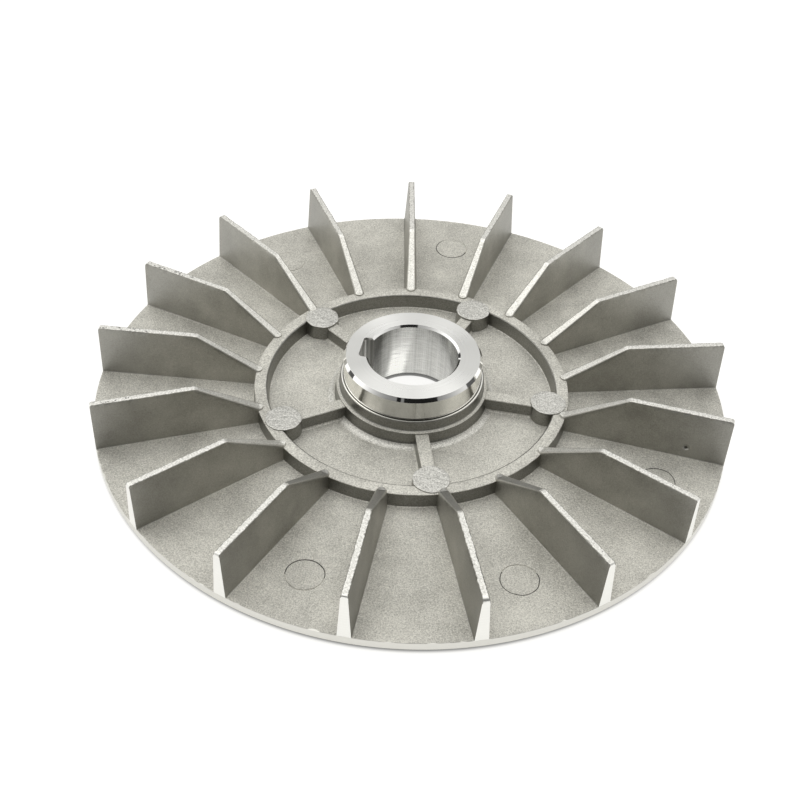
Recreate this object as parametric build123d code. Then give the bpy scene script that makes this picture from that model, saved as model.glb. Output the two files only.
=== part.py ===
from build123d import *
import os
from math import cos, radians, sin

# Fan flywheel: a thin cast disc with straight radial vanes on its top side, a stiffening ring with
# five short spokes inside it, and a turned hub with a keyed bore. Millimetres, +Z up.
# The origin is on the bore axis in the plane of the hub's underside, spoke 1 lies on +X and the
# keyway opens towards -X.

# Driving dimensions
DISC_RADIUS = 88.0
WEB_THICKNESS = 2.5
HUB_PROUD_BELOW = 0.8  # the hub's underside stands this far below the web's
VANE_COUNT = 17
VANE_HEIGHT = 14.6  # above the web, and the hub is as tall
VANE_TOP_THICKNESS = 1.75
VANE_FOOT_THICKNESS = 3.5
VANE_PHASE = -5.06  # angle of vane 1 from spoke 1, in degrees
VANE_KNEE_RADIUS = 60.3  # inside this radius the vane's top slopes down
VANE_TIP_RADIUS = 42.3  # the rounded inner end, on top of the ring
VANE_TIP_LIP = 0.35  # how far the inner end stands above the ring
RING_INNER_RADIUS = 40.3
RING_OUTER_RADIUS = 43.9
RING_HEIGHT = 4.2
RING_INNER_DRAFT = 0.37  # how much wider each wall is at its foot
RING_OUTER_DRAFT = 0.2
SPOKE_COUNT = 5
SPOKE_HEIGHT = 3.9
SPOKE_TOP_WIDTH = 3.6
SPOKE_FOOT_WIDTH = 4.0
PAD_RADIUS = 4.87
PAD_CENTRE_RADIUS = 38.5
PAD_HEIGHT = 4.5
BOSS_OUTER_RADIUS = 20.0
BOSS_HEIGHT = 7.5
BOSS_STEP_RADIUS = 21.1
BOSS_STEP_HEIGHT = 4.4
BOSS_FOOT_FILLET = 2.2
COLLAR_RADIUS = 19.2
SLEEVE_RADIUS = 18.7  # the turned hub inside the boss; its collar rests on the boss's shoulder
COLLAR_CHAMFER_WIDTH = 0.7
COLLAR_CHAMFER_HEIGHT = 1.05
BORE_RADIUS = 12.5
BORE_CHAMFER = 0.57
KEYWAY_WIDTH = 8.0
KEYWAY_FLOOR = 14.5  # distance of the keyway's floor from the bore axis
KEYWAY_CORNER_RADIUS = 1.0
MARK_RADIUS = 4.87  # witness circles that the ejector pins left on the web
MARK_CENTRE_RADIUS = 72.7
MARK_GROOVE_WIDTH = 0.25
MARK_GROOVE_DEPTH = 0.15
MARKED_BAYS = (3, 5, 7, 10, 13, 15, 17)  # the bay after vane N, counted with the angle

# Derived dimensions
VANE_PITCH = 360.0 / VANE_COUNT
SPOKE_PITCH = 360.0 / SPOKE_COUNT
WEB_BOTTOM = HUB_PROUD_BELOW
WEB_TOP = WEB_BOTTOM + WEB_THICKNESS
HUB_TOP = WEB_TOP + VANE_HEIGHT
RING_TOP = WEB_TOP + RING_HEIGHT
SHOULDER = WEB_TOP + BOSS_HEIGHT
VANE_TIP_HEIGHT = RING_HEIGHT + VANE_TIP_LIP


def turned(*profile):
    """A solid of revolution about Z, from corners given as (radius, height)."""
    with BuildPart() as solid:
        with BuildSketch(Plane.XZ):
            with BuildLine():
                Polyline(*profile, close=True)
            make_face()
        revolve(axis=Axis.Z)
    return solid.part


def upright_cylinder(radius, low, high, centre_radius=0.0, angle=0.0):
    """A cylinder along Z whose axis stands at the given polar position."""
    place = Pos(centre_radius * cos(radians(angle)), centre_radius * sin(radians(angle)), low)
    return place * Cylinder(radius, high - low, align=(Align.CENTER, Align.CENTER, Align.MIN))


def ejector_mark(angle):
    """The thin circular groove around one ejector pin's footprint."""
    low = WEB_TOP - MARK_GROOVE_DEPTH
    outer = upright_cylinder(MARK_RADIUS, low, WEB_TOP + 1.0, MARK_CENTRE_RADIUS, angle)
    inner_radius = MARK_RADIUS - MARK_GROOVE_WIDTH
    return outer - upright_cylinder(inner_radius, low, WEB_TOP + 1.0, MARK_CENTRE_RADIUS, angle)


def make_web_disc():
    """The flat annulus that carries everything, with its ejector marks."""
    web = turned(
        (BOSS_STEP_RADIUS, WEB_BOTTOM),
        (DISC_RADIUS, WEB_BOTTOM),
        (DISC_RADIUS, WEB_TOP),
        (BOSS_STEP_RADIUS, WEB_TOP),
    )
    for bay in MARKED_BAYS:
        web -= ejector_mark(VANE_PHASE + (bay - 0.5) * VANE_PITCH)
    return web


def make_full_ring():
    """The stiffening ring with drafted walls, before the pads are let into it."""
    return turned(
        (RING_INNER_RADIUS - RING_INNER_DRAFT, WEB_TOP),
        (RING_OUTER_RADIUS + RING_OUTER_DRAFT, WEB_TOP),
        (RING_OUTER_RADIUS, RING_TOP),
        (RING_INNER_RADIUS, RING_TOP),
    )


def make_hub_boss():
    """The cast boss around the turned hub: a thin shoulder, a step and a filleted foot."""
    fillet_top = WEB_TOP + BOSS_FOOT_FILLET
    foot_radius = BOSS_STEP_RADIUS + BOSS_FOOT_FILLET
    with BuildPart() as boss:
        with BuildSketch(Plane.XZ):
            with BuildLine():
                Polyline(
                    (foot_radius, WEB_TOP),
                    (BOSS_STEP_RADIUS, WEB_TOP),
                    (BOSS_STEP_RADIUS, WEB_BOTTOM),
                    (SLEEVE_RADIUS, WEB_BOTTOM),
                    (SLEEVE_RADIUS, SHOULDER),
                    (BOSS_OUTER_RADIUS, SHOULDER),
                    (BOSS_OUTER_RADIUS, WEB_TOP + BOSS_STEP_HEIGHT),
                    (BOSS_STEP_RADIUS, WEB_TOP + BOSS_STEP_HEIGHT),
                    (BOSS_STEP_RADIUS + 0.1, fillet_top),
                )
                ThreePointArc(
                    (BOSS_STEP_RADIUS + 0.1, fillet_top),
                    (BOSS_STEP_RADIUS + 0.75, WEB_TOP + 0.75),
                    (foot_radius, WEB_TOP + 0.1),
                )
                Line((foot_radius, WEB_TOP + 0.1), (foot_radius, WEB_TOP))
            make_face()
        revolve(axis=Axis.Z)
    return boss.part


def make_hub_sleeve():
    """The turned hub: a collar with a chamfered face, and a through bore with a keyway on -X."""
    sleeve = turned(
        (BORE_RADIUS + BORE_CHAMFER, 0.0),
        (SLEEVE_RADIUS, 0.0),
        (SLEEVE_RADIUS, SHOULDER),
        (COLLAR_RADIUS, SHOULDER),
        (COLLAR_RADIUS, HUB_TOP - COLLAR_CHAMFER_HEIGHT),
        (COLLAR_RADIUS - COLLAR_CHAMFER_WIDTH, HUB_TOP),
        (BORE_RADIUS + BORE_CHAMFER, HUB_TOP),
        (BORE_RADIUS, HUB_TOP - BORE_CHAMFER),
        (BORE_RADIUS, BORE_CHAMFER),
    )
    with BuildPart() as keyway:
        with BuildSketch():
            with Locations((-KEYWAY_FLOOR / 2.0, 0.0)):
                Rectangle(KEYWAY_FLOOR, KEYWAY_WIDTH)
            floor_corners = vertices().sort_by(Axis.X)[:2]
            fillet(floor_corners, radius=KEYWAY_CORNER_RADIUS)
        extrude(amount=HUB_TOP)
    return sleeve - keyway.part


def make_pad(index):
    """The round pad of one ejector pin, where a spoke meets the ring."""
    top = WEB_TOP + PAD_HEIGHT
    return upright_cylinder(PAD_RADIUS, WEB_TOP, top, PAD_CENTRE_RADIUS, index * SPOKE_PITCH)


def drafted_bar(start, end, foot_width, top_width, height):
    """A bar along +X on the web whose sides lean in from its foot to its top."""
    with BuildPart() as bar:
        with BuildSketch(Plane.YZ.offset(start)):
            with BuildLine():
                Polyline(
                    (-foot_width / 2.0, WEB_TOP),
                    (foot_width / 2.0, WEB_TOP),
                    (top_width / 2.0, WEB_TOP + height),
                    (-top_width / 2.0, WEB_TOP + height),
                    close=True,
                )
            make_face()
        extrude(amount=end - start)
    return bar.part


def make_spoke(index, hub_boss, pad):
    """One low spoke from the boss to its pad."""
    bar = drafted_bar(
        BOSS_STEP_RADIUS - 1.0, PAD_CENTRE_RADIUS, SPOKE_FOOT_WIDTH, SPOKE_TOP_WIDTH, SPOKE_HEIGHT
    )
    return Rot(0, 0, index * SPOKE_PITCH) * bar - hub_boss - pad


def vane_side_outline():
    """The vane seen from the side: flat top, a knee, and a slope down to the ring."""
    slope_end = RING_OUTER_RADIUS - 0.5
    outer = DISC_RADIUS + 1.0
    with BuildPart() as slab:
        with BuildSketch(Plane.XZ):
            with BuildLine():
                Polyline(
                    (VANE_TIP_RADIUS, WEB_TOP),
                    (outer, WEB_TOP),
                    (outer, WEB_TOP + VANE_HEIGHT),
                    (VANE_KNEE_RADIUS, WEB_TOP + VANE_HEIGHT),
                    (slope_end, WEB_TOP + VANE_TIP_HEIGHT),
                    (VANE_TIP_RADIUS, WEB_TOP + VANE_TIP_HEIGHT),
                    close=True,
                )
            make_face()
        extrude(amount=VANE_FOOT_THICKNESS, both=True)
    return slab.part


def vane_plan_outline():
    """The vane seen from above: a long bar with a round inner end, cut to the disc's radius."""
    tip_half_width = VANE_FOOT_THICKNESS / 2.0
    tip_centre = VANE_TIP_RADIUS + tip_half_width
    with BuildPart() as outline:
        with BuildSketch(Plane.XY.offset(WEB_TOP)):
            with Locations((tip_centre, 0)):
                Circle(tip_half_width)
            with Locations(((tip_centre + DISC_RADIUS + 1.0) / 2.0, 0)):
                Rectangle(DISC_RADIUS + 1.0 - tip_centre, 2.0 * tip_half_width)
        extrude(amount=VANE_HEIGHT)
    return outline.part & upright_cylinder(DISC_RADIUS, WEB_TOP, HUB_TOP)


def make_vane_blank():
    """One vane on +X, before the ring and the pads are cut away from it."""
    bar = drafted_bar(
        VANE_TIP_RADIUS, DISC_RADIUS + 1.0, VANE_FOOT_THICKNESS, VANE_TOP_THICKNESS, VANE_HEIGHT
    )
    return bar & vane_side_outline() & vane_plan_outline()


def make_nodes():
    """Every sub-part of the flywheel by its name."""
    hub_boss = make_hub_boss()
    pads = [make_pad(index) for index in range(SPOKE_COUNT)]
    full_ring = make_full_ring()
    ring = full_ring
    for pad in pads:
        ring -= pad
    nodes = {
        "web_disc": make_web_disc(),
        "stiffening_ring": ring,
        "hub_boss": hub_boss,
        "hub_sleeve": make_hub_sleeve(),
    }
    for index, pad in enumerate(pads):
        nodes[f"ejector_pad_{index + 1}"] = pad
        nodes[f"spoke_{index + 1}"] = make_spoke(index, hub_boss, pad)
    blank = make_vane_blank()
    for index in range(VANE_COUNT):
        vane = Rot(0, 0, VANE_PHASE + index * VANE_PITCH) * blank - full_ring
        for pad in pads:
            vane -= pad
        nodes[f"vane_{index + 1:02d}"] = vane
    return nodes


os.makedirs("parts", exist_ok=True)
for name, solid in make_nodes().items():
    export_step(solid, f"parts/{name}.step")
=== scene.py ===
import math
from collections import namedtuple

import bpy
from mathutils import Matrix, Vector, geometry, noise


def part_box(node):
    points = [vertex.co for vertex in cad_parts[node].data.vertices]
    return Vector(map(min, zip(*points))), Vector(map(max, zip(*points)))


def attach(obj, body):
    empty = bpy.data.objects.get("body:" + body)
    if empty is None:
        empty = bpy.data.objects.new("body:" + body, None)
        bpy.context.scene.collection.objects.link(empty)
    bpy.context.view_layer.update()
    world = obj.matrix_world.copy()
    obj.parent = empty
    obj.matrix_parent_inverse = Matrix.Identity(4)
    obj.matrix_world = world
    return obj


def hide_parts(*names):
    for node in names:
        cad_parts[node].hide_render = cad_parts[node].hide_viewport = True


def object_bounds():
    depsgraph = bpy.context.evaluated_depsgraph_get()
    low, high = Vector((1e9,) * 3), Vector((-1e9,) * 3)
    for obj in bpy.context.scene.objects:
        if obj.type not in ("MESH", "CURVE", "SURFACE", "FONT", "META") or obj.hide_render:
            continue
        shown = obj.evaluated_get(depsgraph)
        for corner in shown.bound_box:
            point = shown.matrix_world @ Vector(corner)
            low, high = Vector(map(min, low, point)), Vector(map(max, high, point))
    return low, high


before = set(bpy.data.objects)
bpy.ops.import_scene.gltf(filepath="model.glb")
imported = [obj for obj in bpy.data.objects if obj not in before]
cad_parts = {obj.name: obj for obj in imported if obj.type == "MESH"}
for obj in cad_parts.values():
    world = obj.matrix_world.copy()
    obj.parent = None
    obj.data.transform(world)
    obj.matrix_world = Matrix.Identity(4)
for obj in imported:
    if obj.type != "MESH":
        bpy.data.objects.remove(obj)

# Looks for the die-cast fan flywheel. Every shape below is worked out in millimetres in the frame
# of the CAD model (+Z up, origin in the plane of the hub's underside) and scaled to metres when a
# piece is made. Each piece stands for one CAD node and rides on the one body, "root". Materials and
# the studio are in metres.

CAD_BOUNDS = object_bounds()
MM = 0.001


# ---------------------------------------------------------------------------------------------
# Dimensions in millimetres and degrees, from the frame where a node's box gives them
# ---------------------------------------------------------------------------------------------

def height_span(node):
    """The heights of a CAD node's lowest and highest places."""
    low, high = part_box(node)
    return (low / MM).z, (high / MM).z


WEB_BOTTOM, WEB_TOP = height_span("web_disc")
HUB_TOP = height_span("hub_sleeve")[1]
SHOULDER = height_span("hub_boss")[1]
RING_TOP = height_span("stiffening_ring")[1]
PAD_TOP = height_span("ejector_pad_1")[1]
EMBED = 0.3  # how far a piece's foot reaches into the one below it

DISC_RADIUS = 88.0
RIM_BREAK = 0.06  # on the rim's worn upper edge
RIM_CHAMFER = 0.25  # on its lower edge
MARK_RADIUS = 4.87
MARK_CENTRE_RADIUS = 72.7

VANE_COUNT = 17
VANE_PITCH = 360.0 / VANE_COUNT
VANE_PHASE = -5.06  # vane_01's bearing from +X
VANE_HEIGHT = HUB_TOP - WEB_TOP
VANE_TOP_HALF = 0.875  # half of the thickness
VANE_FOOT_HALF = 1.75
VANE_KNEE_RADIUS = 60.3
VANE_TIP_RADIUS = 42.3
VANE_TIP_LIP = 0.35  # how far the inner end stands above the ring
VANE_NOSE_RADIUS = 1.5
VANE_FOOT_FILLET = 0.2
NOTCHED_VANE = 14  # counted from 0: its top outer corner is rounder than the others'
PIT = (77.2, -1.57, 3.4)  # in vane_01's face: along it, to its side and above the web

RING_INNER = 40.3
RING_OUTER = 43.9
SPOKE_COUNT = 5
SPOKE_PITCH = 360.0 / SPOKE_COUNT
SPOKE_TOP_HALF = 1.8  # half of the width
SPOKE_FOOT_HALF = 2.0
SPOKE_TOP = WEB_TOP + 3.9
PAD_RADIUS = 4.87
PAD_CENTRE_RADIUS = 38.5

BOSS_OUTER = 20.0
BOSS_STEP = 21.1
BOSS_STEP_TOP = WEB_TOP + 4.4
WEB_HOLE_RADIUS = BOSS_STEP - EMBED
SLEEVE_RADIUS = 18.7
COLLAR_RADIUS = 19.2
FACE_RADIUS = 18.5
COLLAR_TOP = HUB_TOP - 1.05
BORE_RADIUS = 12.5
BORE_CHAMFER = 0.57
KEYWAY_HALF = 4.0
KEYWAY_FLOOR = 14.5
KEYWAY_CORNER = 1.0

RIM_STEPS = 720
CIRCLE_STEPS = 120
BORE_STEPS = 200
VANE_ROUND_STEPS = 4

FAN_AZIMUTH = math.radians(8.5)  # the bearing of the painted sheen and shade, from -Y towards +X
PAINTED_SHADE_TONE = (0.22, 0.217, 0.205)  # the colour of the shade painted on a cast skin


def polar(radius, degrees):
    angle = math.radians(degrees)
    return radius * math.cos(angle), radius * math.sin(angle)


def rough(x, y, z, wavelength, amplitude):
    """A smooth repeatable wander, the same at the same place every time."""
    return amplitude * noise.noise(Vector((x, y, z)) / wavelength)


# ---------------------------------------------------------------------------------------------
# Node helpers and materials
# ---------------------------------------------------------------------------------------------

class Nodes:
    """Short calls for building a node tree."""

    def __init__(self, tree):
        self.tree = tree

    def add(self, kind, **settings):
        node = self.tree.nodes.new(kind)
        for key, value in settings.items():
            setattr(node, key, value)
        return node

    def link(self, source, target):
        self.tree.links.new(source, target)

    def place(self):
        return self.add("ShaderNodeTexCoord").outputs["Object"]

    def noise(self, vector, scale, detail=2.0, roughness=0.5):
        node = self.add("ShaderNodeTexNoise")
        node.inputs["Scale"].default_value = scale
        node.inputs["Detail"].default_value = detail
        node.inputs["Roughness"].default_value = roughness
        self.link(vector, node.inputs["Vector"])
        return node.outputs["Fac"]

    def line_noise(self, value, scale, detail=2.0):
        """Noise along one number, such as a radius: the even marks of a cutting tool."""
        node = self.add("ShaderNodeTexNoise", noise_dimensions="1D")
        node.inputs["Scale"].default_value = scale
        node.inputs["Detail"].default_value = detail
        self.link(value, node.inputs["W"])
        return node.outputs["Fac"]

    def axes(self, vector):
        """The three parts of a vector."""
        node = self.add("ShaderNodeSeparateXYZ")
        self.link(vector, node.inputs["Vector"])
        return node.outputs

    def distance_from_axis(self, place):
        x, y, z = self.axes(place)
        squares = self.math("ADD", self.math("MULTIPLY", x, x), self.math("MULTIPLY", y, y))
        return self.math("SQRT", squares)

    def distance_from_point(self, place, point):
        node = self.add("ShaderNodeVectorMath", operation="DISTANCE")
        self.link(place, node.inputs[0])
        node.inputs[1].default_value = point
        return node.outputs["Value"]

    def share_along_fan(self, place):
        """How much of the distance from the axis lies along FAN_AZIMUTH, from -1 to 1."""
        along = self.dot(place, (math.sin(FAN_AZIMUTH), -math.cos(FAN_AZIMUTH), 0.0))
        return self.math("DIVIDE", along, self.distance_from_axis(place))

    def dot(self, vector, direction):
        node = self.add("ShaderNodeVectorMath", operation="DOT_PRODUCT")
        self.link(vector, node.inputs[0])
        node.inputs[1].default_value = direction
        return node.outputs["Value"]

    def remap(self, value, low, high, to_low, to_high, interpolation="LINEAR"):
        """Takes low..high to to_low..to_high, and holds the end values beyond."""
        node = self.add("ShaderNodeMapRange", interpolation_type=interpolation)
        node.inputs["From Min"].default_value = low
        node.inputs["From Max"].default_value = high
        node.inputs["To Min"].default_value = to_low
        node.inputs["To Max"].default_value = to_high
        self.link(value, node.inputs["Value"])
        return node.outputs["Result"]

    def smooth(self, value, low, high, to_low, to_high):
        return self.remap(value, low, high, to_low, to_high, "SMOOTHSTEP")

    def math(self, operation, first, second=0.0):
        node = self.add("ShaderNodeMath", operation=operation)
        for socket, value in zip(node.inputs, (first, second)):
            if isinstance(value, (int, float)):
                socket.default_value = value
            else:
                self.link(value, socket)
        return node.outputs["Value"]

    def weighted(self, *terms):
        """The sum of some values, each times its weight."""
        products = [self.math("MULTIPLY", value, weight) for value, weight in terms]
        total = products[0]
        for product in products[1:]:
            total = self.math("ADD", total, product)
        return total

    def mix(self, factor, first, second):
        """A colour between two, each a tuple or another node's output."""
        node = self.add("ShaderNodeMix", data_type="RGBA")
        self.link(factor, node.inputs[0])
        for socket, value in ((node.inputs[6], first), (node.inputs[7], second)):
            if isinstance(value, tuple):
                socket.default_value = (*value, 1.0)
            else:
                self.link(value, socket)
        return node.outputs[2]

    def shade(self, value, low, high, dark, light):
        """The colour from dark to light as a value goes from low to high."""
        return self.mix(self.remap(value, low, high, 0.0, 1.0), dark, light)

    def bump(self, height, distance, normal=None):
        node = self.add("ShaderNodeBump")
        node.inputs["Strength"].default_value = 1.0
        node.inputs["Distance"].default_value = distance
        self.link(height, node.inputs["Height"])
        if normal is not None:
            self.link(normal, node.inputs["Normal"])
        return node.outputs["Normal"]


class MaterialNodes(Nodes):
    """A material and its node tree."""

    def __init__(self, name, metallic=1.0):
        self.material = bpy.data.materials.new(name)
        self.material.use_nodes = True
        super().__init__(self.material.node_tree)
        self.shader = self.tree.nodes["Principled BSDF"]
        self.shader.inputs["Metallic"].default_value = metallic

    def colour(self, source):
        self.link(source, self.shader.inputs["Base Color"])

    def roughness(self, source):
        self.link(source, self.shader.inputs["Roughness"])

    def normal(self, source):
        self.link(source, self.shader.inputs["Normal"])


def cast_material(
    name, dark, light, roughness, grain, metallic=1.0, cloud=0.15, relief=0.0, rim_shade=0.0,
    fan_shade=0.0, pit=None
):
    """As-cast aluminium: a grainy satin skin with soft cloudy patches.

    It can have a coarse relief, painted shade near the rim or along FAN_AZIMUTH, and one pit.
    """
    n = MaterialNodes(name, metallic)
    place = n.place()
    fine = n.noise(place, 3400.0, 2.0, 0.6)
    speck = n.noise(place, 2200.0, 2.0, 0.5)
    patch = n.noise(place, 85.0, 4.0, 0.6)
    grains = n.weighted((fine, 0.65), (speck, 0.35))
    tone = n.weighted((grains, 1.0 - cloud), (patch, cloud))
    skin = n.shade(tone, 0.38, 0.62, dark, light)
    normal = n.bump(fine, grain, normal=n.bump(speck, grain * 2.0))
    if relief:
        normal = n.bump(n.noise(place, 900.0, 1.0, 0.5), relief, normal=normal)
    # painted shade: darker towards the rim, and darker along the fan's bearing
    if rim_shade:
        near_rim = n.smooth(n.distance_from_axis(place), 0.062, 0.087, 0.0, rim_shade)
        skin = n.mix(near_rim, skin, PAINTED_SHADE_TONE)
    if fan_shade:
        along_fan = n.smooth(n.share_along_fan(place), 0.7, 0.85, 0.0, fan_shade)
        skin = n.mix(along_fan, skin, PAINTED_SHADE_TONE)
    if pit:
        distance = n.distance_from_point(place, pit)
        skin = n.mix(n.smooth(distance, 0.0003, 0.0006, 0.85, 0.0), skin, (0.03, 0.03, 0.028))
        normal = n.bump(n.smooth(distance, 0.0003, 0.0011, 0.0, 1.0), 0.0006, normal=normal)
    n.colour(skin)
    n.roughness(n.remap(patch, 0.3, 0.7, roughness - 0.05, roughness + 0.06))
    n.normal(normal)
    return n.material


def trimmed_material():
    """The tops of the vanes, dressed flat on a belt: bright, coarse and pitted."""
    n = MaterialNodes("trimmed_edge")
    place = n.place()
    grit = n.noise(place, 1900.0, 3.0, 0.7)
    pits = n.noise(place, 1100.0, 2.0, 0.6)
    x, y, z = n.axes(place)
    worst = n.smooth(x, -0.058, -0.076, 0.0, 0.14)  # the belt skipped most on these vanes
    pitted = n.remap(n.math("SUBTRACT", pits, worst), 0.25, 0.31, 1.0, 0.0)
    bright = n.shade(grit, 0.38, 0.6, (0.64, 0.632, 0.595), (0.97, 0.96, 0.92))
    n.colour(n.mix(pitted, bright, (0.3, 0.295, 0.28)))
    n.roughness(n.remap(grit, 0.3, 0.7, 0.35, 0.5))
    n.normal(n.bump(grit, 0.00005))
    return n.material


def turned_material(name, colour, roughness, anisotropy, mark_depth, fans=None):
    """Machined aluminium with the fine even marks that a lathe tool leaves around the axis.

    Sheen and shade can be painted in fans, given as the share of the radius along FAN_AZIMUTH at
    which the colour is bright, the share at which it is dim, and how dim.
    """
    n = MaterialNodes(name)
    place = n.place()
    x, y, z = n.axes(place)
    along = n.weighted((n.distance_from_axis(place), 1.0), (z, 1.7))
    marks = n.line_noise(along, 6500.0, 3.0)
    broad = n.line_noise(along, 1600.0, 2.0)
    smear = n.noise(place, 130.0, 2.0, 0.5)
    worn = n.weighted((broad, 0.5), (smear, 0.5))
    n.roughness(n.remap(worn, 0.35, 0.65, roughness * 0.8, roughness * 1.25))
    dim = tuple(0.94 * c for c in colour)
    metal = n.shade(worn, 0.35, 0.65, dim, colour)
    # painted sheen and shade: the colour dims in fans around the axis
    if fans:
        bright_share, dim_share, depth = fans
        share = n.math("ABSOLUTE", n.share_along_fan(place))
        fan = n.smooth(share, bright_share, dim_share, 0.0, depth)
        metal = n.mix(fan, metal, (0.25, 0.25, 0.24))
    n.colour(metal)
    n.normal(n.bump(marks, mark_depth))
    n.shader.inputs["Anisotropic"].default_value = anisotropy
    tangent = n.add("ShaderNodeTangent", direction_type="RADIAL", axis="Z")
    n.link(tangent.outputs["Tangent"], n.shader.inputs["Tangent"])
    return n.material


def broached_material():
    """The keyway: lines along it from the broach."""
    n = MaterialNodes("broached_keyway")
    x, y, z = n.axes(n.place())
    lines = n.line_noise(n.weighted((y, 1.0), (x, 0.7)), 900.0, 3.0)
    n.colour(n.shade(lines, 0.35, 0.65, (0.32, 0.318, 0.30), (0.72, 0.715, 0.69)))
    n.roughness(n.remap(lines, 0.3, 0.7, 0.4, 0.55))
    n.normal(n.bump(lines, 0.00003))
    return n.material


def bore_material():
    """The reamed bore: soft streaks along it, and a painted highlight streak with short chatter
    marks across it. One side has painted shade.
    """
    n = MaterialNodes("reamed_bore")
    x, y, z = n.axes(n.place())
    angle = n.math("ARCTAN2", y, x)
    slanted = n.weighted((angle, 1.0), (z, 14.0))
    # painted highlight: a bright slanted streak that fades upwards
    streak_start = n.smooth(slanted, 1.88, 2.05, 0.0, 1.0)
    streak_end = n.smooth(slanted, 2.25, 2.45, 1.0, 0.0)
    streak_fade = n.smooth(z, 0.003, 0.0145, 1.0, 0.2)
    painted_highlight_streak = n.math("MULTIPLY", n.math("MULTIPLY", streak_start, streak_end), streak_fade)
    chatter_place = n.add("ShaderNodeCombineXYZ")
    n.link(n.math("MULTIPLY", angle, 3.5), chatter_place.inputs[0])
    n.link(n.math("MULTIPLY", z, 2300.0), chatter_place.inputs[1])
    chatter = n.noise(chatter_place.outputs[0], 1.0, 1.0)
    chatter_marks = n.remap(chatter, 0.35, 0.65, -0.12, 0.12)
    chatter_share = n.remap(painted_highlight_streak, 0.0, 1.0, 0.45, 1.7)
    streaks = n.line_noise(n.math("ADD", angle, 2.1), 3.0, 3.0)
    fine_streaks = n.line_noise(angle, 26.0, 1.0)
    brighter_below = n.remap(z, 0.0, 0.0179, 0.26, 0.06)
    # painted shade on one side of the bore
    painted_shade_side = n.smooth(angle, 2.15, 2.5, 0.0, -0.42)
    tone = n.weighted(
        (streaks, 0.5), (fine_streaks, 0.2), (chatter_marks, chatter_share),
        (brighter_below, 1.0), (painted_shade_side, 1.0), (painted_highlight_streak, 0.75)
    )
    n.colour(n.shade(tone, 0.0, 1.1, (0.12, 0.12, 0.11), (0.97, 0.97, 0.94)))
    n.roughness(n.remap(fine_streaks, 0.3, 0.7, 0.24, 0.3))
    return n.material


PIT_PLACE = Matrix.Rotation(math.radians(VANE_PHASE), 3, "Z") @ Vector(
    (PIT[0] * MM, PIT[1] * MM, (WEB_TOP + PIT[2]) * MM)
)
CAST = cast_material(
    "cast_skin", (0.39, 0.381, 0.346), (0.87, 0.855, 0.79), 0.55, 0.00006, metallic=0.55, cloud=0.28
)
FILLET_SKIN = cast_material("fillet_skin", (0.46, 0.452, 0.42), (0.88, 0.87, 0.82), 0.5, 0.00006)
# a dark copy of the cast skin: painted shade on walls, rounded edges and creases
SHADED_WALL_SKIN = cast_material("wall_painted_shade", (0.20, 0.197, 0.18), (0.32, 0.315, 0.29), 0.34, 0.00002)
# painted shade towards the outer ends of the vanes' sides
VANE_SKIN = cast_material(
    "vane_skin", (0.32, 0.313, 0.283), (0.54, 0.529, 0.484), 0.47, 0.000015, cloud=0.5,
    rim_shade=0.4, pit=PIT_PLACE
)
# painted shade on the slopes that lie along the fan's bearing, towards -Y
SLOPE_SKIN = cast_material(
    "vane_slope", (0.58, 0.57, 0.53), (0.98, 0.97, 0.92), 0.34, 0.00008, fan_shade=0.75
)
PAD_SKIN = cast_material(
    "pad_skin", (0.38, 0.376, 0.352), (0.85, 0.842, 0.805), 0.45, 0.00005, relief=0.00018
)
GROOVE = cast_material("groove_shadow", (0.12, 0.12, 0.11), (0.3, 0.297, 0.28), 0.6, 0.00002)
TRIMMED = trimmed_material()
# painted sheen: bright towards and away from the fan's bearing, with painted shade at the sides
TURNED = turned_material(
    "turned_face", (1.0, 1.0, 0.985), 0.33, 0.9, 0.0000015, fans=(0.95, 0.3, 0.42)
)
# painted shade: dim towards and away from the fan's bearing
COLLAR = turned_material(
    "turned_collar", (0.99, 0.98, 0.94), 0.12, 0.3, 0.000001, fans=(0.8, 0.995, 0.5)
)
POLISHED = turned_material("turned_chamfer", (0.95, 0.95, 0.94), 0.05, 0.0, 0.0000002)
MACHINED_EDGE = turned_material("machined_edge", (0.86, 0.855, 0.82), 0.36, 0.3, 0.000004)
TURNED_RIM = turned_material("turned_rim", (0.72, 0.712, 0.67), 0.42, 0.3, 0.000004)
BORE = bore_material()
BROACHED = broached_material()


# ---------------------------------------------------------------------------------------------
# Mesh helpers
# ---------------------------------------------------------------------------------------------

def make_piece(node, points, faces, materials, face_materials, smooth_degrees):
    """A mesh piece in metres that replaces the CAD node of its name and rides on the body."""
    mesh = bpy.data.meshes.new(f"{node}_looks")
    mesh.from_pydata([Vector(p) * MM for p in points], [], faces)
    for material in materials:
        mesh.materials.append(material)
    mesh.polygons.foreach_set("material_index", face_materials)
    mesh.polygons.foreach_set("use_smooth", [True] * len(faces))
    mesh.update()
    mesh.set_sharp_from_angle(angle=math.radians(smooth_degrees))
    piece = bpy.data.objects.new(f"{node}_looks", mesh)
    bpy.context.scene.collection.objects.link(piece)
    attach(piece, "root")
    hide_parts(node)


def loft(loops, materials_by_row, closed_ends=False):
    """Quads between closed loops of equal length. Returns points, faces and material numbers."""
    count = len(loops[0])
    points = [p for loop in loops for p in loop]
    faces = []
    numbers = []
    rows = len(loops) if closed_ends else len(loops) - 1
    for row in range(rows):
        this = row * count
        other = ((row + 1) % len(loops)) * count
        for i in range(count):
            j = (i + 1) % count
            faces.append((this + i, this + j, other + j, other + i))
            numbers.append(materials_by_row[row])
    return points, faces, numbers


def close_ends(points, faces, numbers, count, first_material, last_material):
    """Adds strips across the first and the last loop of a loft."""
    last = len(points) - count
    for i in range((count - 1) // 2):
        strip = list(dict.fromkeys((i, i + 1, count - 2 - i, count - 1 - i)))
        faces.append([last + point for point in strip])
        numbers.append(last_material)
        faces.append(strip[::-1])
        numbers.append(first_material)


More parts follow.
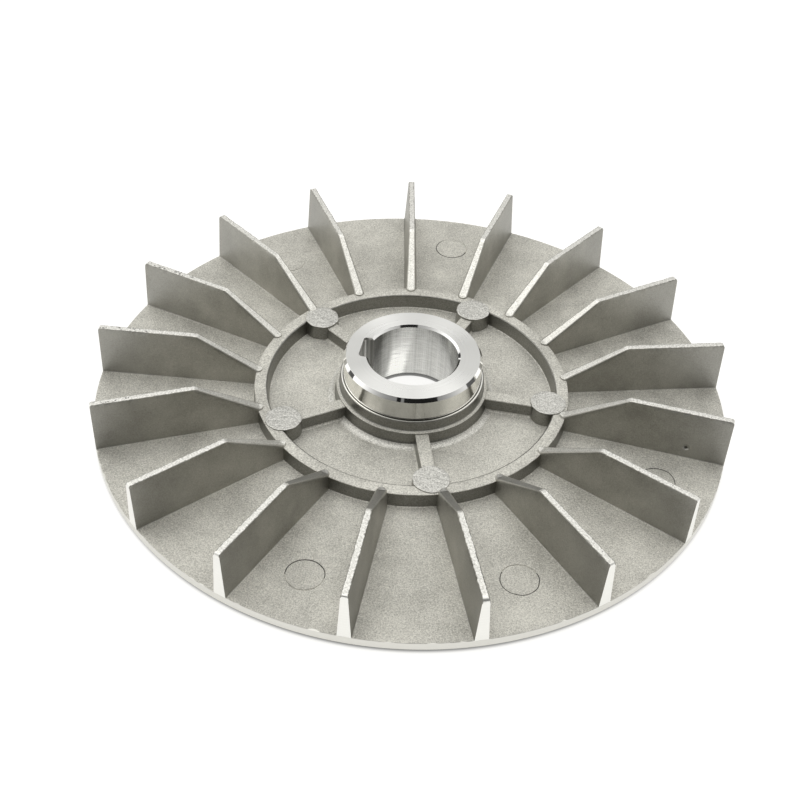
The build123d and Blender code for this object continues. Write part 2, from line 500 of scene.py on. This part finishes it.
def revolve(profile, segments, wander, materials_by_row, centre=(0.0, 0.0)):
    """Turns a closed profile of (radius, height) about a vertical axis.

    The wander gives each place a shift outwards and a shift upwards.
    """
    loops = []
    for radius, height in profile:
        loop = []
        for i in range(segments):
            angle = 2.0 * math.pi * i / segments
            x = centre[0] + radius * math.cos(angle)
            y = centre[1] + radius * math.sin(angle)
            outwards, upwards = wander(x, y, height)
            x += outwards * math.cos(angle)
            y += outwards * math.sin(angle)
            loop.append((x, y, height + upwards))
        loops.append(loop)
    return loft(loops, materials_by_row, closed_ends=True)


def arc(centre, radius, start, end, steps):
    """Points of a circular arc in a profile, from one angle to another in degrees."""
    angles = [math.radians(start + (end - start) * i / steps) for i in range(steps + 1)]
    return [(centre[0] + radius * math.cos(a), centre[1] + radius * math.sin(a)) for a in angles]


def circle_points(centre, radius, count):
    angles = [2 * math.pi * i / count for i in range(count)]
    return [(centre[0] + radius * math.cos(a), centre[1] + radius * math.sin(a)) for a in angles]


# ---------------------------------------------------------------------------------------------
# Web disc
# ---------------------------------------------------------------------------------------------

# The mark an ejector pin leaves. It lies in the bay between the vane with the bay's number and the
# next one. Its disc stands a little above or below the web and leans down towards +Y. Shade is
# painted in a part of its groove, half a span to each side of a bearing.
Mark = namedtuple("Mark", "bay, groove_depth, disc_height, lean, dirt_bearing, dirt_half_span")

MARKS = (
    Mark(3, 0.06, 0.01, 0.02, 0.0, 0.0),
    Mark(5, 0.2, 0.05, -0.03, -120.0, 110.0),
    Mark(7, 0.08, 0.02, 0.05, 0.0, 0.0),
    Mark(10, 0.06, -0.02, 0.02, 0.0, 0.0),
    Mark(13, 0.16, -0.04, 0.07, 95.0, 95.0),
    Mark(15, 0.2, -0.02, -0.02, -80.0, 120.0),
    Mark(17, 0.12, -0.03, 0.05, 60.0, 90.0),
)


def mark_centre(mark):
    return Vector(polar(MARK_CENTRE_RADIUS, VANE_PHASE + (mark.bay - 0.5) * VANE_PITCH))


def mark_loops(mark):
    """A mark's loops of plan points and their heights, from the groove's outer edge inwards."""
    centre = mark_centre(mark)
    rings = (
        (MARK_RADIUS + 0.13, 0.0, 0.0),
        (MARK_RADIUS + 0.04, -mark.groove_depth, 0.0),
        (MARK_RADIUS - 0.04, -mark.groove_depth, 0.0),
        (MARK_RADIUS - 0.13, mark.disc_height, mark.lean),
        (MARK_RADIUS - 1.0, mark.disc_height, mark.lean * 0.8),
    )
    loops = []
    for radius, height, tilt in rings:
        plan = []
        heights = []
        for x, y in circle_points(centre, radius, CIRCLE_STEPS):
            stretch = 1.0 + rough(x, y, mark.bay, 1.6, 0.022) + rough(x, y, mark.bay, 5.0, 0.02)
            plan.append(centre + (Vector((x, y)) - centre) * stretch)
            heights.append(WEB_TOP + height - tilt * (y - centre.y) / MARK_RADIUS)
        loops.append((plan, heights))
    return loops


def in_painted_shade(place):
    """Whether a plan place is in the part of a mark's groove where shade is painted."""
    for mark in MARKS:
        out = place - mark_centre(mark)
        if abs(out.length - MARK_RADIUS) > 0.35:
            continue
        turn = math.degrees(math.atan2(out.y, out.x)) - mark.dirt_bearing
        if abs((turn + 180.0) % 360.0 - 180.0) < mark.dirt_half_span:
            return True
    return False


def nicked_rim():
    """The plan of the top's outer edge, with small nicks."""
    plan = []
    for x, y in circle_points((0.0, 0.0), DISC_RADIUS - RIM_BREAK, RIM_STEPS):
        nick = 1.0 - max(rough(x, y, 5.0, 1.7, 0.012) - 0.003, 0.0)
        plan.append(Vector((x * nick, y * nick)))
    return plan


def web_top(clean, shaded_groove):
    """The top with its marks: points, faces, material numbers and the rim's point numbers."""
    hole = [Vector(p) for p in circle_points((0.0, 0.0), WEB_HOLE_RADIUS, CIRCLE_STEPS)]
    loops = [(nicked_rim(), [WEB_TOP] * RIM_STEPS), (hole, [WEB_TOP] * CIRCLE_STEPS)]
    for mark in MARKS:
        loops += mark_loops(mark)
    plan = []
    heights = []
    edges = []
    for loop_plan, loop_heights in loops:
        first = len(plan)
        count = len(loop_plan)
        plan += loop_plan
        heights += loop_heights
        edges += [(first + i, first + (i + 1) % count) for i in range(count)]

    keep_inside_rim = 1  # the kind of result that leaves out what lies beyond the outline
    cut = geometry.delaunay_2d_cdt(plan, edges, [], keep_inside_rim, 1e-6)
    cut_plan, cut_faces, sources = cut[0], cut[2], cut[3]
    points = [
        (p.x, p.y, heights[found[0]] if found else WEB_TOP) for p, found in zip(cut_plan, sources)
    ]
    faces = []
    numbers = []
    for face in cut_faces:
        middle = sum((cut_plan[i] for i in face), Vector((0.0, 0.0))) / len(face)
        if middle.length <= 0.99 * (WEB_HOLE_RADIUS - 0.01):
            continue  # it fills the hole
        faces.append(tuple(face))
        in_groove = min(points[i][2] for i in face) < WEB_TOP - 0.1
        # painted shade in a part of a mark's groove, with the groove_shadow material
        numbers.append(shaded_groove if in_groove and in_painted_shade(middle) else clean)
    order = {source: i for i, found in enumerate(sources) for source in found}
    rim = [order[i] for i in range(RIM_STEPS)]
    return points, faces, numbers, rim


def web_disc():
    """The disc: a top with its ejector marks, a turned edge and a plain underside."""
    # the third material paints shade in a part of the marks' grooves
    cast, turned, shaded_groove = 0, 1, 2
    points, faces, numbers, rim = web_top(cast, shaded_groove)
    bands = (
        (DISC_RADIUS, WEB_TOP - RIM_BREAK, turned),
        (DISC_RADIUS, WEB_BOTTOM + RIM_CHAMFER, turned),
        (DISC_RADIUS - RIM_CHAMFER, WEB_BOTTOM, turned),
        (DISC_RADIUS - 4.0, WEB_BOTTOM, cast),
        (WEB_HOLE_RADIUS, WEB_BOTTOM, cast),
    )
    for radius, height, material in bands:
        first = len(points)
        points += [(x, y, height) for x, y in circle_points((0.0, 0.0), radius, RIM_STEPS)]
        for i in range(RIM_STEPS):
            j = (i + 1) % RIM_STEPS
            faces.append((rim[i], first + i, first + j, rim[j]))
            numbers.append(material)
        rim = range(first, first + RIM_STEPS)
    make_piece(
        "web_disc", points, faces, [CAST, TURNED_RIM, GROOVE], numbers, 1.0
    )


# ---------------------------------------------------------------------------------------------
# Vanes
# ---------------------------------------------------------------------------------------------

def vane_top(x, corner):
    """Height of the vane's top edge above the web at a distance from the axis."""
    slope_end = RING_OUTER - 0.5
    tip_height = RING_TOP - WEB_TOP + VANE_TIP_LIP
    if x <= slope_end:
        return tip_height
    if x < VANE_KNEE_RADIUS:
        part = (x - slope_end) / (VANE_KNEE_RADIUS - slope_end)
        return tip_height + part * (VANE_HEIGHT - tip_height)
    over = x - (DISC_RADIUS - corner)
    if over > 0:
        return VANE_HEIGHT - corner + math.sqrt(max(corner * corner - over * over, 0.0))
    return VANE_HEIGHT


def vane_nose_half(x):
    """Half of the thickness that the round inner end allows at x."""
    reach = max(x - VANE_TIP_RADIUS, 0.0)
    if reach >= VANE_NOSE_RADIUS:
        return math.inf
    squared = VANE_NOSE_RADIUS ** 2 - (VANE_NOSE_RADIUS - reach) ** 2
    return math.sqrt(max(squared, 0.0)) + 0.02


def vane_half_profile(x, corner, seed, side):
    """One side of the vane's section at x, from its embedded foot up to the middle of its top."""
    top = vane_top(x, corner)
    draft = (VANE_FOOT_HALF - VANE_TOP_HALF) / VANE_HEIGHT
    nose_limit = vane_nose_half(x)

    def half(z):
        return min(VANE_FOOT_HALF - draft * z, nose_limit)

    # the slope is as cast, with rounder and straighter edges than the dressed top has
    blend = 1.5
    cast_share = 1.0 - min(max((x - VANE_KNEE_RADIUS + blend) / blend, 0.0), 1.0)
    dressed_radius = 0.12 + abs(rough(x, seed * 7.0 + side, 0.0, 0.8, 0.35))
    cast_radius = 0.3 * half(top)
    round_radius = dressed_radius + (cast_radius - dressed_radius) * cast_share
    edge_wander = rough(x, seed * 3.0 + side * 9.0, 1.0, 0.6, 0.16) * (1.0 - 0.7 * cast_share)

    fillet = VANE_FOOT_FILLET
    points = [(half(0.0) + fillet, -EMBED)]
    points += arc((half(0.0) + fillet, fillet), fillet, -90.0, -180.0, 3)
    wall_top = top - 1.5
    for part in (0.33, 0.67, 1.0):
        z = fillet + (wall_top - fillet) * part
        points.append((half(z) + rough(x, z, seed * 13.0 + side * 5.0, 11.0, 0.05), z))
    side_top = top - round_radius
    points.append((half(side_top), side_top))
    for step in range(VANE_ROUND_STEPS):
        a = math.radians(90.0 * (step + 1) / VANE_ROUND_STEPS)
        y = half(top) - round_radius + round_radius * math.cos(a) + edge_wander
        points.append((max(y, 0.01), side_top + round_radius * math.sin(a)))
    for part in (0.55, 0.0):
        ripple = rough(x, part * side, seed * 11.0, 0.8, 0.07)
        points.append((max(half(top) - round_radius, 0.0) * part, top + min(ripple, 0.0)))
    return points


def vane_section(x, corner, index):
    """The vane's closed section at x, before its turn, cut off where the disc's edge is turned."""
    right = vane_half_profile(x, corner, index, 0)
    left = vane_half_profile(x, corner, index, 1)
    outline = [(-y, z) for y, z in left] + right[-2::-1]
    return [
        Vector((min(x, math.sqrt(DISC_RADIUS ** 2 - y * y)), y, WEB_TOP + z)) for y, z in outline
    ]


def vane_stations(corner):
    """Distances from the axis at which the vane's section is worked out."""
    stations = [VANE_TIP_RADIUS + s for s in (0.0, 0.04, 0.15, 0.35, 0.6, 0.9, 1.1, 1.3, 1.5)]
    step = 0.32
    x = stations[-1] + step
    while x < DISC_RADIUS - corner - 0.1:
        stations.append(x)
        x += step
    for part in (0.0, 0.3, 0.55, 0.75, 0.9, 0.98):
        stations.append(DISC_RADIUS - corner + corner * part)
    stations.append(DISC_RADIUS)
    return stations


def vane(index):
    """One straight vane: drafted sides, a dressed top, a turned outer end and a round inner end."""
    corner = 0.6 + 0.3 * abs(rough(index * 3.7, 1.3, 0.2, 1.0, 1.0))
    if index == NOTCHED_VANE:
        corner = 1.4
    turn = Matrix.Rotation(math.radians(VANE_PHASE + index * VANE_PITCH), 3, "Z")
    stations = vane_stations(corner)
    loops = [[turn @ p for p in vane_section(x, corner, index)] for x in stations]
    skin, dressed, machined, slope = 0, 1, 2, 3
    points, faces, numbers = loft(loops, [skin] * len(loops))
    count = len(loops[0])
    top_columns = range(count // 2 - 2, count // 2 + 2)
    for face in range(len(faces)):
        row, column = divmod(face, count)
        if column not in top_columns:
            continue
        if stations[row] >= DISC_RADIUS - corner * 0.9:
            numbers[face] = machined
        elif stations[row] > VANE_KNEE_RADIUS - 1.0:
            numbers[face] = dressed
        else:
            numbers[face] = slope
    close_ends(points, faces, numbers, count, skin, machined)
    make_piece(
        f"vane_{index + 1:02d}", points, faces, [VANE_SKIN, TRIMMED, MACHINED_EDGE, SLOPE_SKIN],
        numbers, 40.0,
    )


# ---------------------------------------------------------------------------------------------
# Ring, pads, spokes and boss
# ---------------------------------------------------------------------------------------------

def cast_wander(x, y, z):
    """The slight unevenness of a cast edge, outwards and upwards."""
    return rough(x, y, z, 2.2, 0.06), rough(x, y, z + 40.0, 2.5, 0.04)


def stiffening_ring():
    """The raised ring: drafted walls and rounded edges with painted shade, and a paler uneven top.
    """
    inner_draft, outer_draft = 0.37, 0.2
    inner_round, outer_round = 0.4, 0.2
    foot = 0.35
    inner_foot = RING_INNER - inner_draft - foot
    outer_foot = RING_OUTER + outer_draft + foot
    profile = [(inner_foot, WEB_TOP - EMBED)]
    profile += arc((inner_foot, WEB_TOP + foot), foot, -90.0, 0.0, 3)
    profile += arc((RING_INNER + inner_round, RING_TOP - inner_round), inner_round, 180.0, 90.0, 3)
    profile += [(RING_INNER + 1.2, RING_TOP), (RING_OUTER - 1.2, RING_TOP)]
    profile += arc((RING_OUTER - outer_round, RING_TOP - outer_round), outer_round, 90.0, 0.0, 3)
    profile += arc((outer_foot, WEB_TOP + foot), foot, 180.0, 270.0, 3)
    profile += [(outer_foot, WEB_TOP - EMBED)]
    # these rows get painted shade
    walls = (3, 4, 5, 6, 7, 14, 15)  # the rows of the two drafted walls and of their rounded ends
    row_materials = [1 if row in walls else 0 for row in range(len(profile))]
    points, faces, numbers = revolve(profile, 600, cast_wander, row_materials)
    make_piece(
        "stiffening_ring", points, faces, [CAST, SHADED_WALL_SKIN], numbers, 50.0
    )


def ejector_pad(index):
    """The round pad over a spoke's end: a coarse flat top just proud of the ring."""
    centre = polar(PAD_CENTRE_RADIUS, index * SPOKE_PITCH)
    draft = 0.1
    edge_round = 0.1
    middle = 0.05
    profile = [(middle, WEB_TOP - EMBED), (PAD_RADIUS + draft, WEB_TOP - EMBED)]
    profile += [(PAD_RADIUS + draft, WEB_TOP + 1.0), (PAD_RADIUS, PAD_TOP - 0.3)]
    profile += arc((PAD_RADIUS - edge_round, PAD_TOP - edge_round), edge_round, 0.0, 90.0, 2)
    profile += [(PAD_RADIUS * part, PAD_TOP) for part in (0.9, 0.75, 0.6, 0.45, 0.3, 0.15)]
    profile += [(middle, PAD_TOP)]

    def wander(x, y, z):
        if z > PAD_TOP - 0.4:
            edge = rough(x, y, 3.0 * index, 1.0, 0.16) + rough(x, y, 3.0 * index, 3.0, 0.2)
            return edge, min(rough(x, y, z, 0.9, 0.07), 0.0)
        return rough(x, y, 3.0 * index, 3.0, 0.2), 0.0

    # the pad's wall gets painted shade
    walls = (1, 2, 3)
    row_materials = [1 if row in walls else 0 for row in range(len(profile))]
    points, faces, numbers = revolve(profile, 96, wander, row_materials, centre)
    make_piece(
        f"ejector_pad_{index + 1}", points, faces, [PAD_SKIN, SHADED_WALL_SKIN], numbers,
        50.0,
    )


def spoke(index):
    """A low rounded bar from the boss to its pad."""
    turn = Matrix.Rotation(math.radians(index * SPOKE_PITCH), 3, "Z")
    start = BOSS_OUTER + 0.2
    end = PAD_CENTRE_RADIUS - PAD_RADIUS + 1.0
    step = 0.7
    foot = 0.5
    top_round = 0.3
    stations = [start + step * i for i in range(int((end - start) / step) + 1)] + [end]
    loops = []
    for x in stations:
        half = [(SPOKE_FOOT_HALF + foot, WEB_TOP - EMBED)]
        half += arc((SPOKE_FOOT_HALF + foot, WEB_TOP + foot), foot, -90.0, -180.0, 3)
        half += arc((SPOKE_TOP_HALF - top_round, SPOKE_TOP - top_round), top_round, 0.0, 90.0, 3)
        half += [(0.6, SPOKE_TOP)]
        section = [(-y, z) for y, z in half] + [(y, z) for y, z in reversed(half)]
        loop = []
        for y, z in section:
            shift = rough(x, y + index * 9.0, z, 2.0, 0.06)
            loop.append(turn @ Vector((x, y + shift, z)))
        loops.append(loop)
    cast, dark = 0, 1
    points, faces, numbers = loft(loops, [cast] * len(loops))
    count = len(loops[0])
    # the columns on the spoke's two sides get painted shade
    wall_columns = (4, count - 6)
    numbers = [dark if i % count in wall_columns else cast for i in range(len(faces))]
    close_ends(points, faces, numbers, count, cast, cast)
    make_piece(
        f"spoke_{index + 1}", points, faces, [CAST, SHADED_WALL_SKIN], numbers, 50.0
    )


def boss_wander(x, y, z):
    """The boss is uneven only where it is cast, so its shoulder stays true."""
    if WEB_TOP - 0.1 < z < SHOULDER - 0.5:
        return rough(x, y, z, 3.0, 0.06), rough(x, y, z + 40.0, 3.0, 0.03)
    return 0.0, 0.0


def hub_boss():
    """The cast boss: turned shoulder, wall, step and a wide fillet down to the web."""
    foot = 2.2
    foot_radius = BOSS_STEP + 0.1 + foot
    shoulder_round = 0.35
    step_round = 0.2
    groove_round = 0.25
    inside = [(SLEEVE_RADIUS - 0.1, WEB_BOTTOM), (SLEEVE_RADIUS - 0.1, SHOULDER - 0.3)]
    shoulder = [(COLLAR_RADIUS + 0.08, SHOULDER - 0.3), (COLLAR_RADIUS + 0.22, SHOULDER)]
    shoulder += [(BOSS_OUTER - 0.42, SHOULDER)]
    rounding = (BOSS_OUTER - shoulder_round, SHOULDER - shoulder_round)
    wall = arc(rounding, shoulder_round, 75.0, 0.0, 3)
    wall += arc((BOSS_OUTER + 0.35, BOSS_STEP_TOP + groove_round), groove_round, 180.0, 270.0, 3)
    step = arc((BOSS_STEP - step_round, BOSS_STEP_TOP - step_round), step_round, 90.0, 0.0, 3)
    fillet = arc((foot_radius, WEB_TOP + foot), foot, 180.0, 270.0, 8)
    buried = [(foot_radius, WEB_TOP - EMBED), (BOSS_STEP, WEB_TOP - EMBED)]
    buried += [(BOSS_STEP, WEB_BOTTOM)]
    profile = inside + shoulder + wall + step + fillet + buried
    cast, dark, turned, pale = 0, 1, 2, 3
    # dark rows: painted shade on the boss's wall, the step's side and the steep top of the fillet
    row_materials = [dark] * len(inside) + [turned] * len(shoulder)
    row_materials += [dark] * (len(wall) - 1) + [cast] * len(step)
    row_materials += [dark] * 4 + [pale] * (len(fillet) - 3) + [dark] * len(buried)
    points, faces, numbers = revolve(profile, 480, boss_wander, row_materials)
    make_piece(
        "hub_boss", points, faces, [CAST, SHADED_WALL_SKIN, COLLAR, FILLET_SKIN], numbers,
        40.0,
    )


# ---------------------------------------------------------------------------------------------
# Turned hub
# ---------------------------------------------------------------------------------------------

def bore_contour(radius, key_half, key_floor, corner):
    """The bore with its keyway towards -X, as a closed loop of plan points in a fixed order."""
    mouth = math.asin(key_half / radius)
    start, end = -math.pi + mouth, math.pi - mouth
    points = []
    for i in range(BORE_STEPS + 1):
        angle = start + (end - start) * i / BORE_STEPS
        points.append((radius * math.cos(angle), radius * math.sin(angle)))
    wall_start = -radius * math.cos(mouth)
    wall_end = -(key_floor - corner)
    for part in (0.33, 0.67, 1.0):
        points.append((wall_start + (wall_end - wall_start) * part, key_half))
    points += arc((wall_end, key_half - corner), corner, 90.0, 180.0, 3)[1:]
    for part in (0.5, 0.0, -0.5):
        points.append((-key_floor, (key_half - corner) * part))
    points += arc((wall_end, corner - key_half), corner, 180.0, 270.0, 3)[:-1]
    for part in (1.0, 0.67, 0.33):
        points.append((wall_start + (wall_end - wall_start) * part, -key_half))
    return points


def hub_sleeve():
    """The turned hub: collar, chamfered face, keyed bore and a plain underside."""
    bore = bore_contour(BORE_RADIUS, KEYWAY_HALF, KEYWAY_FLOOR, KEYWAY_CORNER)
    mouth = bore_contour(
        BORE_RADIUS + BORE_CHAMFER, KEYWAY_HALF + 0.18, KEYWAY_FLOOR + 0.12, KEYWAY_CORNER
    )
    angles = [math.atan2(y, x) for x, y in bore]
    foot_radius = SLEEVE_RADIUS - 0.2
    neck_radius = COLLAR_RADIUS - 0.25

    def circle(radius, height):
        return [(radius * math.cos(a), radius * math.sin(a), height) for a in angles]

    def plan(contour, height):
        return [(x, y, height) for x, y in contour]

    def between(contour, radius, part, height):
        """A loop part of the way from a contour to a circle."""
        return [
            (
                x + (radius * math.cos(a) - x) * part,
                y + (radius * math.sin(a) - y) * part,
                height,
            )
            for (x, y), a in zip(contour, angles)
        ]

    face, collar, polished, reamed, broached = 0, 1, 2, 3, 4
    rows = [
        (plan(mouth, 0.0), face),
        (between(mouth, foot_radius, 0.5, 0.0), face),
        (circle(foot_radius, 0.0), face),
        (circle(SLEEVE_RADIUS, 0.2), face),
        (circle(SLEEVE_RADIUS, SHOULDER - 0.25), face),
        (circle(neck_radius, SHOULDER - 0.1), collar),
        (circle(neck_radius, SHOULDER + 0.12), collar),
        (circle(COLLAR_RADIUS, SHOULDER + 0.3), collar),
        (circle(COLLAR_RADIUS, COLLAR_TOP - 0.03), polished),
        (circle(COLLAR_RADIUS - 0.02, COLLAR_TOP), polished),
        (circle(FACE_RADIUS + 0.02, HUB_TOP - 0.03), polished),
        (circle(FACE_RADIUS - 0.02, HUB_TOP), face),
        (between(mouth, FACE_RADIUS, 0.66, HUB_TOP), face),
        (between(mouth, FACE_RADIUS, 0.33, HUB_TOP), face),
        (plan(mouth, HUB_TOP), polished),
        (plan(bore, HUB_TOP - BORE_CHAMFER), reamed),
        (plan(bore, HUB_TOP * 0.5), reamed),
        (plan(bore, 0.5), reamed),
    ]
    loops = [loop for loop, material in rows]
    row_materials = [material for loop, material in rows]
    points, faces, numbers = loft(loops, row_materials, closed_ends=True)
    for i, number in enumerate(numbers):
        if number == reamed and i % len(bore) >= BORE_STEPS:
            numbers[i] = broached
    make_piece(
        "hub_sleeve", points, faces, [TURNED, COLLAR, POLISHED, BORE, BROACHED], numbers,
        20.0,
    )


# ---------------------------------------------------------------------------------------------
# Stage, lights and camera
# ---------------------------------------------------------------------------------------------

FRONT_LIGHT = 0.2  # radiance of the tent in front and at its sides
SIDE_LIGHT = 1.15
LEFT_SHARE = 1.25  # the tent's left side against its middle
LOW_BACK_SHADE = 0.55
OVERHEAD_EXTRA = 0.5
DARK_SHARE = 0.06  # what is left of the light where something dark stands
FLOOR_GLOW = 0.85
UNDER_GLOW = 0.1  # the floor's glow in the shade under the disc
FLOOR_SIZE = 6.0  # metres from the middle to a side
CAMERA_AZIMUTH = 8.5  # degrees from -Y towards +X
CAMERA_ELEVATION = 41.334
CAMERA_DISTANCE = 4.2517 * DISC_RADIUS * MM
CAMERA_PAN = -0.00811  # radians, as are the tilt and the roll
CAMERA_TILT = -0.00513
CAMERA_ROLL = 0.05392
CAMERA_LENS = 59.58


def stage_object(name, points, faces, material, height=0.0):
    """A thing of the studio, which isn't part of the flywheel."""
    mesh = bpy.data.meshes.new(name)
    mesh.from_pydata(points, [], faces)
    mesh.materials.append(material)
    thing = bpy.data.objects.new(name, mesh)
    thing.location.z = height
    bpy.context.scene.collection.objects.link(thing)
    return thing


def glowing_material(name, base, glow):
    """A matt material that shines by itself. Its strength is left to the caller."""
    n = MaterialNodes(name, metallic=0.0)
    n.shader.inputs["Base Color"].default_value = (*base, 1.0)
    n.shader.inputs["Emission Color"].default_value = (*glow, 1.0)
    return n


def white_floor():
    """A plain pale floor just under the hub. Its glow stops where the disc's shade begins."""
    n = glowing_material("floor_white", (0.28, 0.28, 0.28), (1.0, 0.995, 0.975))
    n.shader.inputs["Roughness"].default_value = 0.9
    radius = n.distance_from_axis(n.place())
    beyond_disc = n.smooth(radius, 0.0868, 0.0884, UNDER_GLOW, FLOOR_GLOW)
    within_bore = n.smooth(radius, 0.0117, 0.0122, FLOOR_GLOW - UNDER_GLOW, 0.0)
    n.link(n.math("ADD", beyond_disc, within_bore), n.shader.inputs["Emission Strength"])
    corners = [
        (x * FLOOR_SIZE, y * FLOOR_SIZE, 0.0) for x, y in ((-1, -1), (1, -1), (1, 1), (-1, 1))
    ]
    stage_object("floor", corners, [(0, 1, 2, 3)], n.material, CAD_BOUNDS[0].z - 0.0002)


def white_backdrop():
    """A white wall near the floor's edge, for low views. It adds no light and isn't reflected."""
    n = glowing_material("backdrop_white", (0.0, 0.0, 0.0), (1.0, 1.0, 1.0))
    n.shader.inputs["Emission Strength"].default_value = 1.2
    count = 64
    ring = circle_points((0.0, 0.0), 0.95 * FLOOR_SIZE, count)
    points = [(x, y, z) for z in (-0.1, FLOOR_SIZE) for x, y in ring]
    faces = [(i, (i + 1) % count, count + (i + 1) % count, count + i) for i in range(count)]
    backdrop = stage_object("backdrop", points, faces, n.material)
    backdrop.visible_diffuse = False
    backdrop.visible_glossy = False
    backdrop.visible_transmission = False
    backdrop.visible_volume_scatter = False
    backdrop.visible_shadow = False


def studio():
    """A white light tent, dimmer in front, with a dark photographer and two dark props in it."""
    world = bpy.data.worlds.new("studio")
    world.use_nodes = True
    n = Nodes(world.node_tree)
    background = n.tree.nodes["Background"]
    direction = n.add("ShaderNodeTexCoord").outputs["Generated"]
    turn = math.radians(CAMERA_AZIMUTH)
    # each from -1 to 1: to the camera's right, towards the camera, and up
    sideways = n.dot(direction, (math.cos(turn), math.sin(turn), 0.0))
    nearer = n.dot(direction, (math.sin(turn), -math.cos(turn), 0.0))
    height = n.dot(direction, (0.0, 0.0, 1.0))

    def product(first, second):
        return n.math("MULTIPLY", first, second)

    def between(value, low, high, edge=0.02):
        above = n.smooth(value, low, low + edge, 0.0, 1.0)
        below = n.smooth(value, high, high + edge, 1.0, 0.0)
        return product(above, below)

    tent = n.smooth(nearer, 0.9, -0.15, FRONT_LIGHT, SIDE_LIGHT)
    behind = n.smooth(nearer, -0.45, -0.8, 0.0, LOW_BACK_SHADE)
    low = n.smooth(height, 0.5, 0.75, 1.0, 0.0)
    tent = product(tent, n.math("SUBTRACT", 1.0, product(behind, low)))
    tent = product(tent, n.remap(sideways, -1.0, 1.0, LEFT_SHARE, 2.0 - LEFT_SHARE))
    tent = n.math("ADD", tent, n.smooth(height, 0.75, 1.0, 0.0, OVERHEAD_EXTRA))

    # the photographer's body, with a bright gap beside an arm, and the camera's lens above it
    body = product(between(sideways, -0.34, 0.6), between(height, 0.34, 0.5))
    body = product(body, n.math("SUBTRACT", 1.0, between(sideways, -0.24, -0.17)))
    lens = product(between(sideways, -0.12, 0.4, 0.05), between(height, 0.5, 0.8))
    person = product(n.math("MAXIMUM", body, lens), n.math("GREATER_THAN", nearer, 0.0))

    # two low dark props at the back, one at each side
    left_prop = product(
        n.smooth(sideways, -0.5, -0.52, 0.0, 1.0), n.smooth(nearer, -0.12, -0.14, 0.0, 1.0)
    )
    right_prop = product(
        n.smooth(sideways, 0.5, 0.52, 0.0, 0.93), n.smooth(nearer, 0.0, -0.02, 0.0, 1.0)
    )
    props = product(
        n.math("MAXIMUM", left_prop, right_prop), n.smooth(height, 0.13, 0.15, 1.0, 0.0)
    )

    dark = n.math("MAXIMUM", person, props)
    light = product(tent, n.remap(dark, 0.0, 1.0, 1.0, DARK_SHARE))
    n.link(light, background.inputs["Strength"])
    background.inputs["Color"].default_value = (1.0, 0.995, 0.97, 1.0)
    bpy.context.scene.world = world


def swung(first, second, angle):
    """Two axes after a turn that swings the first towards the second."""
    return (
        math.cos(angle) * first + math.sin(angle) * second,
        math.cos(angle) * second - math.sin(angle) * first,
    )


def photo_camera():
    """A camera that looks down at the middle of the disc, turned a little to frame it."""
    azimuth = math.radians(CAMERA_AZIMUTH)
    elevation = math.radians(CAMERA_ELEVATION)
    back = Vector((
        math.sin(azimuth) * math.cos(elevation),
        -math.cos(azimuth) * math.cos(elevation),
        math.sin(elevation),
    ))
    forward = -back
    right = Vector((math.cos(azimuth), math.sin(azimuth), 0.0))
    up = back.cross(right)
    forward, right = swung(forward, right, CAMERA_PAN)
    forward, up = swung(forward, up, CAMERA_TILT)
    right, up = swung(right, up, CAMERA_ROLL)
    data = bpy.data.cameras.new("camera")
    data.sensor_width = 36.0
    data.lens = CAMERA_LENS
    data.clip_start = 0.01
    data.clip_end = 100.0
    camera = bpy.data.objects.new("camera", data)
    place = Matrix((right, up, -forward)).transposed().to_4x4()
    place.translation = Vector((0.0, 0.0, WEB_TOP * MM)) + back * CAMERA_DISTANCE
    camera.matrix_world = place
    bpy.context.scene.collection.objects.link(camera)
    bpy.context.scene.camera = camera


# ---------------------------------------------------------------------------------------------
# Assembly
# ---------------------------------------------------------------------------------------------

bpy.context.scene.view_settings.view_transform = "Standard"
photo_camera()
studio()
white_floor()
white_backdrop()
web_disc()
stiffening_ring()
hub_boss()
hub_sleeve()
for number in range(SPOKE_COUNT):
    spoke(number)
    ejector_pad(number)
for number in range(VANE_COUNT):
    vane(number)
